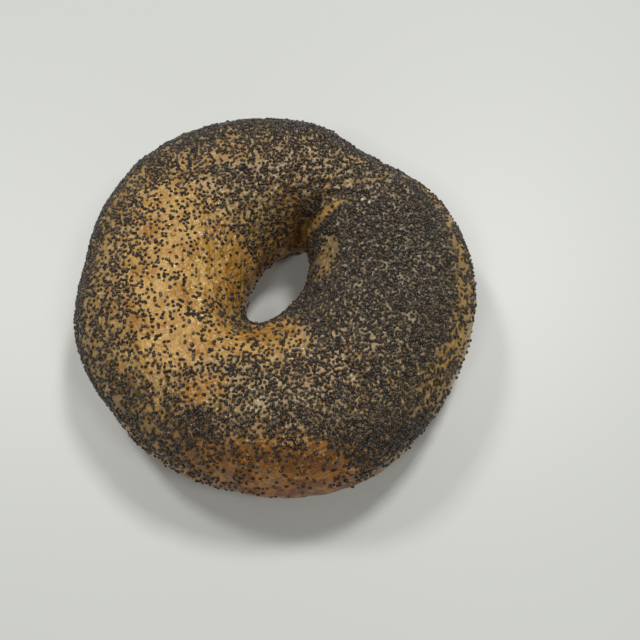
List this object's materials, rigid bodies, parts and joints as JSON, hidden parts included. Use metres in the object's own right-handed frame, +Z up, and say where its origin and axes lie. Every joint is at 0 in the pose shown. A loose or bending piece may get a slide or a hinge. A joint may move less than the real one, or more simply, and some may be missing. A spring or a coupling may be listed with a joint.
{
  "type": "bagel",
  "caption": "Whole uncut hand-rolled bagel: a ring of baked dough with a small leaning hole and a pressed seam, its golden crust thickly covered with poppy seeds.",
  "frame": {"origin": "on the flat base, under the middle of the bounding box", "axes": "+Z up through the hole, +Y from the ring's thickest side towards its thinner side, +X to the right of that, towards the thickly seeded side"},
  "size_m": [0.1196, 0.1194, 0.038],
  "materials": {
    "crust": "golden baked crust with a soft uneven sheen, browner low on the sides and in the hole, paler at the foot",
    "poppy_seeds": "blue-black to dark brown seed coat with a faint satin shine"
  },
  "bodies": {
    "root": {"bagel": "crust"}
  },
  "joints": []
}
